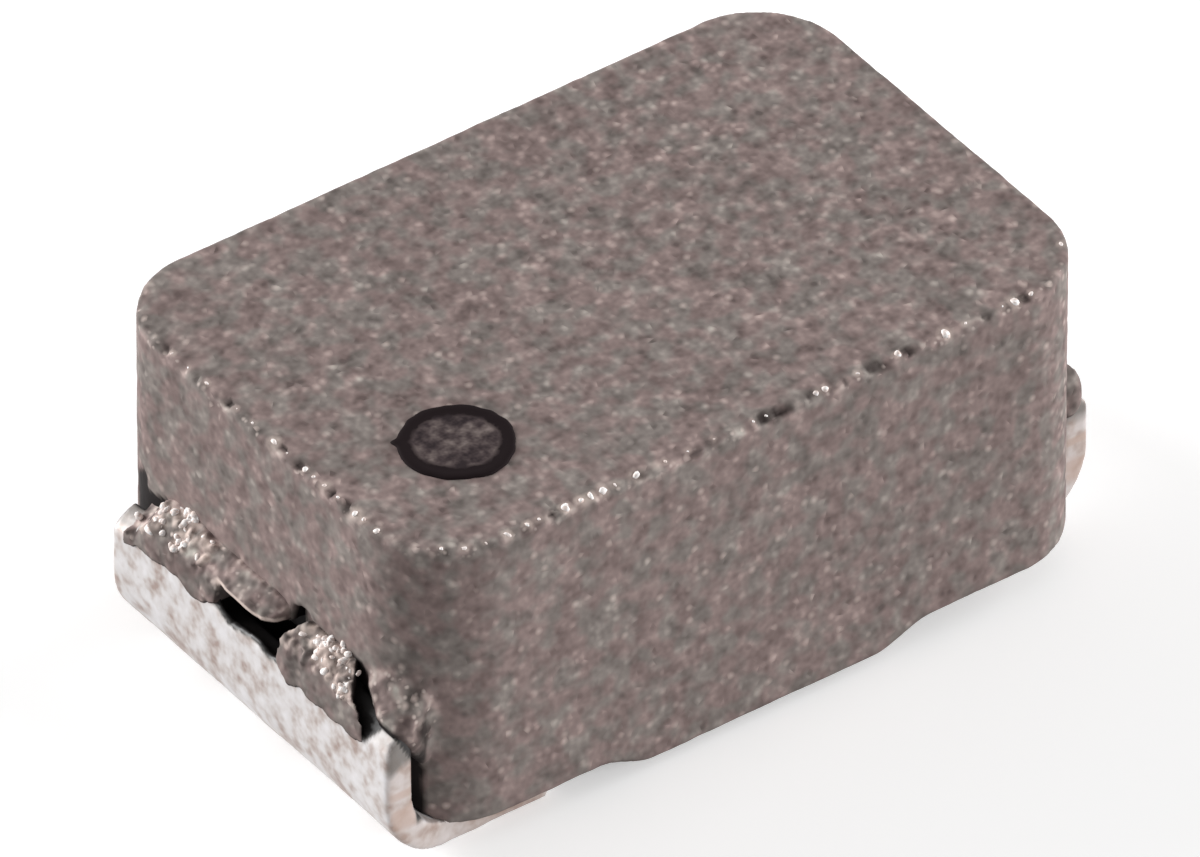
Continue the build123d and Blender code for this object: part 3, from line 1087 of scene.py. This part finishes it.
def powder_material():
    """Pressed metal powder: soft-edged grains of several greys, a few bright as painted glints,
    with painted highlight round bright grains and painted shade, dark where hidden.
    """
    material, tree, shader = new_material("pressed_powder")
    place = leaning(tree, millimetres(tree))
    names = ("rim", "pit", "calm", "pale", "gap")
    rim, pit, calm, pale, gap = (attribute(tree, name) for name in names)
    # Tone of the grains, with more contrast on broken compound and less on the plain sides
    grain = noise_value(tree, place, 28, 1.0)
    cell, distance = grain_cells(tree, place, 46)
    rounded = fade_between(tree, distance, (0.1, 1), (0.6, 0))
    fine = noise_value(tree, place, 80, 0.5)
    broad = noise_value(tree, place, 7)
    speck = maths(tree, "MULTIPLY", maths(tree, "SUBTRACT", cell, 0.42), rounded)
    tone = maths(tree, "MULTIPLY_ADD", speck, 0.4, maths(tree, "MULTIPLY", grain, 0.6))
    tone = maths(tree, "ADD", tone, maths(tree, "MULTIPLY_ADD", fine, 0.2, 0.092))
    tone = maths(tree, "ADD", tone, maths(tree, "MULTIPLY_ADD", broad, 0.14, -0.07))
    away = maths(tree, "SUBTRACT", tone, 0.5)
    less = maths(tree, "MULTIPLY", calm, -0.2)
    tone = maths(tree, "ADD", tone, maths(tree, "MULTIPLY", away, less))
    tone = maths(tree, "MULTIPLY_ADD", rim, maths(tree, "MULTIPLY_ADD", grain, 1.0, -0.44), tone)
    pinkish = ramp(tree, tone, [
        (0.28, (0.124, 0.091, 0.086)), (0.46, (0.208, 0.156, 0.147)),
        (0.58, (0.273, 0.207, 0.195)), (0.76, (0.428, 0.33, 0.306)), (0.95, (0.6, 0.49, 0.45)),
    ])
    greyish = mixed(tree, 1.0, pinkish, (0.92, 1.06, 1.04), "MULTIPLY")
    tint = fade_between(tree, noise_value(tree, place, 19, 1), (0.42, 0), (0.62, 1))
    colour = mixed(tree, tint, pinkish, greyish)
    # Painted glints: bright grain cells painted pale where metal grains catch the light, more of
    # them on broken compound
    bright_cell, bright_distance = grain_cells(tree, place, 42)
    bright = maths(tree, "GREATER_THAN", bright_cell, maths(tree, "MULTIPLY_ADD", rim, -0.22, 0.95))
    soft = fade_between(tree, bright_distance, (0.05, 1), (0.5, 0))
    bright = maths(tree, "MULTIPLY", bright, soft)
    strength = maths(tree, "MULTIPLY_ADD", rim, 0.5, 0.38)
    strength = maths(tree, "MULTIPLY", bright, strength, clamp=True)
    colour = mixed(tree, strength, colour, (0.74, 0.61, 0.555))
    # Fine pale dots on broken compound
    dot_cell, dot_distance = grain_cells(tree, place, 74)
    dots = maths(tree, "GREATER_THAN", dot_cell, 0.74)
    dots = maths(tree, "MULTIPLY", dots, fade_between(tree, dot_distance, (0.15, 1), (0.5, 0)))
    dots = maths(tree, "MULTIPLY", dots, maths(tree, "MULTIPLY", rim, 0.8), clamp=True)
    colour = mixed(tree, dots, colour, (0.8, 0.68, 0.62))
    # Painted highlight: paler round bright grains and along the lip's rim
    colour = mixed(tree, pale, colour, (0.72, 0.59, 0.53))
    # Darker where pitted: painted shade in the pits along the top edge, and darker spots of
    # compound
    colour = mixed(tree, pit, colour, (0.045, 0.034, 0.032))
    # Painted shade: near black in the gaps and hollows that lie in shade
    colour = mixed(tree, gap, colour, (0.012, 0.009, 0.009))
    height = maths(tree, "ADD", maths(tree, "MULTIPLY", cell, 0.25), grain)
    feed(tree, shader, {"Base Color": colour, "Roughness": 0.75, "Specular IOR Level": 0.12,
                        "Normal": bumped(tree, height, 0.0000025, 0.35)})
    return material


def bright_grain_material():
    """Broken metal grains that catch the light, with the glint painted into a near-white colour."""
    material, tree, shader = new_material("painted_glint_grain")
    facet, _ = grain_cells(tree, millimetres(tree), 130)
    colour = ramp(tree, facet, [
        (0.1, (0.74, 0.62, 0.57)), (0.5, (0.88, 0.8, 0.77)), (0.8, (0.97, 0.94, 0.93)),
    ])
    feed(tree, shader, {"Base Color": colour, "Roughness": 0.6, "Specular IOR Level": 0.25,
                        "Normal": bumped(tree, facet, 0.000002, 0.3)})
    return material


def ink_material():
    """Thin dark ink: near black in a ring at its edge, thin and mottled over the grains inside."""
    material, tree, shader = new_material("marking_ink")
    place = millimetres(tree)
    mottle = noise_value(tree, place, 36, 2, 0.55)
    patches = maths(tree, "MULTIPLY", noise_value(tree, place, 13), 0.42)
    tone = maths(tree, "ADD", maths(tree, "MULTIPLY", mottle, 0.62), patches)
    colour = ramp(tree, tone, [
        (0.42, (0.028, 0.02, 0.022)), (0.525, (0.062, 0.046, 0.047)), (0.61, (0.115, 0.09, 0.086)),
        (0.71, (0.2, 0.162, 0.152)),
    ])
    edge = maths(tree, "MULTIPLY_ADD", mottle, 1.1, -0.55)
    edge = maths(tree, "ADD", attribute(tree, "ring"), edge, clamp=True)
    edge = fade_between(tree, edge, (0.3, 0), (0.7, 1))
    colour = mixed(tree, edge, colour, (0.0125, 0.0075, 0.0085))
    feed(tree, shader, {"Base Color": colour, "Roughness": 0.8, "Specular IOR Level": 0.08,
                        "Normal": bumped(tree, mottle, 0.000002, 0.3)})
    return material


def wire_material():
    """Flat copper wire under clear enamel, with fine drawing lines."""
    material, tree, shader = new_material("enamelled_wire")
    lines = noise_value(tree, millimetres(tree), 40, 3, 0.6)
    colour = ramp(tree, lines, [
        (0.35, (0.42, 0.13, 0.05)), (0.5, (0.58, 0.2, 0.08)), (0.68, (0.72, 0.3, 0.13)),
    ])
    feed(tree, shader, {"Base Color": colour, "Metallic": 0.85, "Roughness": 0.32,
                        "Coat Weight": 0.6, "Coat Roughness": 0.12,
                        "Normal": bumped(tree, lines, 0.000001, 0.3)})
    return material


def tin_material():
    """Matte tin over copper: pale grey with soft brown blotches, bare bands on the cut edges,
    olive-grey darkening in places and painted shade near black in the slot, the crack and the gaps.
    """
    material, tree, shader = new_material("matte_tin")
    place = millimetres(tree)
    blotch = noise_value(tree, place, 19)
    broad = maths(tree, "MULTIPLY", noise_value(tree, place, 7), 0.3)
    fine = noise_value(tree, place, 70)
    tone = maths(tree, "ADD", maths(tree, "MULTIPLY", blotch, 0.75), broad)
    tone = maths(tree, "ADD", tone, maths(tree, "MULTIPLY_ADD", fine, 0.14, -0.095))
    colour = ramp(tree, tone, [
        (0.36, (0.36, 0.275, 0.245)), (0.455, (0.52, 0.465, 0.445)), (0.53, (0.62, 0.59, 0.585)),
        (0.66, (0.70, 0.68, 0.69)),
    ])
    bare = maths(tree, "MULTIPLY", attribute(tree, "bare"), 0.75)
    colour = mixed(tree, bare, colour, (0.5, 0.36, 0.3))
    # Painted shade: near black where the strip lies in shadowed gaps, olive grey where it is only
    # darkened
    shade_and_dark_tint = attribute(tree, "shade_and_dark_tint")
    tint_and_shade_colour = ramp(tree, shade_and_dark_tint, [(0.6, (0.155, 0.142, 0.131)), (0.95, (0.012, 0.01, 0.01))])
    colour = mixed(tree, maths(tree, "MULTIPLY", shade_and_dark_tint, 1.45, clamp=True), colour, tint_and_shade_colour)
    height = maths(tree, "ADD", maths(tree, "MULTIPLY", fine, 0.6), blotch)
    feed(tree, shader, {
        "Base Color": colour,
        "Metallic": maths(tree, "MULTIPLY_ADD", shade_and_dark_tint, -0.35, 0.35, clamp=True),
        "Roughness": maths(tree, "MULTIPLY_ADD", blotch, 0.25, 0.36),
        "Normal": bumped(tree, height, 0.0000018, 0.5),
    })
    return material


# Ink dot, bright grains and winding

def build_dot():
    """The ink film: a disc with a ragged rim, a raised ring and a spike at its left."""
    centre = (dot_low + dot_high) / 2
    radius = (dot_high.x - dot_low.x) / 2
    film = dot_high.z - top_z
    steps, rings = 160, 26
    layer = (rings + 1) * steps
    angles = 2 * math.pi * np.arange(steps) / steps
    circle = np.stack([np.cos(angles), np.sin(angles), 0 * angles], axis=1)
    rag = 0.022 * smooth_noise(circle, 0.5, 51) + 0.016 * smooth_noise(circle, 0.16, 52)
    away = (angles - math.radians(SPIKE_ANGLE) + math.pi) % (2 * math.pi) - math.pi
    spike = 0.11 * np.exp(-(away / 0.075) ** 2)
    inner = 0.73 + 0.03 * np.cos(2 * (angles - math.radians(AZIMUTH)))
    vertices = []
    ring_values = []
    for level in (0, 1):
        for ring in range(rings + 1):
            share = ring / rings
            rise = 0.3 if ring == rings else 0.62 + 0.3 * math.exp(-((share - 0.9) / 0.08) ** 2)
            height = film * rise if level else -0.004
            reach = radius * share * (0.975 + (rag + spike) * share ** 3)
            vertices += [(centre.x + r * a, centre.y + r * b, top_z + height)
                         for r, (a, b, _) in zip(reach, circle)]
            ring_values += list(np.clip(0.5 + (share - inner) / 0.2, 0, 1))
    strips = [(level * layer + ring * steps, steps) for level in (0, 1) for ring in range(rings)]
    strips.append((rings * steps, layer))
    faces = []
    for start, above in strips:
        for step in range(steps):
            a, b = start + step, start + (step + 1) % steps
            faces.append((a, b, above + b, above + a))
    dot = mesh_from("ink_dot", vertices, faces)
    shade_attribute(dot, "ring", ring_values)
    shape = bmesh.new()
    shape.from_mesh(dot.data)
    bmesh.ops.remove_doubles(shape, verts=shape.verts, dist=1e-6)
    bmesh.ops.recalc_face_normals(shape, faces=shape.faces)
    shape.to_mesh(dot.data)
    shape.free()
    return dot


def build_sparkles():
    """Broken bright grains along the top edge at the front and the left, and on the flash, whose
    near-white colour is a painted glint.
    """
    rng = np.random.default_rng(7)
    flash_limit_x = -0.996
    grains = []
    for x, y, size in edge_spots():
        drop = abs(rng.normal(0, 0.002))
        grains.append(pebble((x, y, top_z - 0.0025 - drop), size * 0.0066, rng))
    for x, y, z, size in FLASH_SPARKLES:
        if size < 2:
            grains.append(pebble((x, y, z - 0.0004 * size), size * 0.0068, rng))
            continue
        # A large one is a cluster of small grains that stays on the flash
        for _ in range(int(8 * size) - 4):
            out, aside = rng.normal(0, 0.0045 * size, 2)
            out = max(out, flash_limit_x - x)
            if past_crack(-x - out, -y - aside) < -0.012:
                spot = (x + out, y + aside, z + 0.8 * out + 0.0015)
                grains.append(pebble(spot, rng.uniform(0.005, 0.0105), rng))
    for index in range(loose_grain_count):
        side = -1 if index % 2 else 1
        spot = flash_spot(side, rng, 0.8)
        across = spot.y * side
        if (side < 0 or spot.y > -0.3) and -across < 0.38 and not 0 < across < 0.215:
            spot.z -= float(droop(-across)) + 0.003
            grains.append(pebble(spot, rng.uniform(0.0035, 0.009), rng))
    return joined("bright_grains", grains)


def dress_winding():
    """The winding keeps its solid and gets the wire's material."""
    material = wire_material()
    for slot in bpy.data.objects["winding"].material_slots:
        slot.material = material


# Stage, light and camera

def facing(azimuth, elevation):
    """Unit vector towards a direction round the part, angles in degrees."""
    a, e = math.radians(azimuth), math.radians(elevation)
    return Vector((math.sin(a) * math.cos(e), -math.cos(a) * math.cos(e), math.sin(e)))


def place_camera():
    """A very long lens, fitted to the photograph's outline of the block."""
    back = facing(AZIMUTH, ELEVATION)
    right = Vector((math.cos(math.radians(AZIMUTH)), math.sin(math.radians(AZIMUTH)), 0))
    up = back.cross(right)
    across = (TOP_CENTRE_PIXEL[0] - PIXELS_WIDE / 2) / PIXELS_PER_MM
    above = (PIXELS_HIGH / 2 - TOP_CENTRE_PIXEL[1]) / PIXELS_PER_MM
    aim = Vector((0, 0, top_z)) - right * across - up * above
    data = bpy.data.cameras.new("camera")
    data.sensor_width = SENSOR
    data.lens = SENSOR * CAMERA_DISTANCE * PIXELS_PER_MM / PIXELS_WIDE
    data.clip_start = 0.001
    data.clip_end = 1
    camera = bpy.data.objects.new("camera", data)
    bpy.context.scene.collection.objects.link(camera)
    basis = Matrix((right, up, back)).transposed().to_4x4()
    camera.matrix_world = Matrix.Translation((aim + back * CAMERA_DISTANCE) * MM) @ basis
    bpy.context.scene.camera = camera


def add_lamp(name, azimuth, elevation, strength, spread):
    """A soft distant lamp that shines from a direction, angles in degrees."""
    data = bpy.data.lights.new(name, "SUN")
    data.energy = strength
    data.angle = math.radians(spread)
    lamp = bpy.data.objects.new(name, data)
    bpy.context.scene.collection.objects.link(lamp)
    lamp.rotation_mode = "QUATERNION"
    lamp.rotation_quaternion = facing(azimuth, elevation).to_track_quat("Z", "Y")


def floor_material():
    """Pale floor: white to the camera where it is lit, and still taking the shadow."""
    material, tree, shader = new_material("pale_floor")
    output = tree.nodes["Material Output"]
    tree.nodes.remove(shader)
    matte = node(tree, "ShaderNodeBsdfDiffuse", {"Color": (0.45, 0.45, 0.45, 1)})
    seen = node(tree, "ShaderNodeBsdfDiffuse", {"Color": (0.9, 0.9, 0.9, 1)})
    lift = node(tree, "ShaderNodeEmission", {"Color": (1, 1, 1, 1), "Strength": 0.35})
    both = node(tree, "ShaderNodeAddShader", {0: seen.outputs[0], 1: lift.outputs[0]})
    path = node(tree, "ShaderNodeLightPath")
    shown = maths(tree, "MAXIMUM", path.outputs["Is Camera Ray"], path.outputs["Is Glossy Ray"])
    chosen = node(tree, "ShaderNodeMixShader", {0: shown, 1: matte.outputs[0], 2: both.outputs[0]})
    tree.links.new(chosen.outputs[0], output.inputs[0])
    return material


def add_floor():
    half = 60 * MM
    corners = [(-half, -half, 0), (half, -half, 0), (half, half, 0), (-half, half, 0)]
    floor = mesh_from("floor", corners, [(0, 1, 2, 3)])
    floor.data.materials.append(floor_material())


def light_world(strength):
    world = bpy.data.worlds.new("studio")
    world.use_nodes = True
    world.node_tree.nodes["Background"].inputs[0].default_value = (1, 1, 1, 1)
    world.node_tree.nodes["Background"].inputs[1].default_value = strength
    bpy.context.scene.world = world


powder = powder_material()
tin = tin_material()

finished(build_block(), ["moulded_body"], powder)
for side in (-1, 1):
    finished(build_flash(side), ["moulded_body"], powder)
for side, name in ((-1, "left_terminal"), (1, "right_terminal")):
    finished(build_terminal(side, *terminal_boxes[side]), [name], tin)
finished(build_sparkles(), ["moulded_body"], bright_grain_material())
finished(build_dot(), ["polarity_dot"], ink_material())
dress_winding()

place_camera()
add_floor()
light_world(0.335)
add_lamp("left_back_softbox", -145, 15, 4.5, 40)
add_lamp("right_softbox", 38, 12, 2.5, 40)
add_lamp("right_back_softbox", 85, 10, 2.3, 40)
bpy.context.scene.view_settings.view_transform = "Standard"
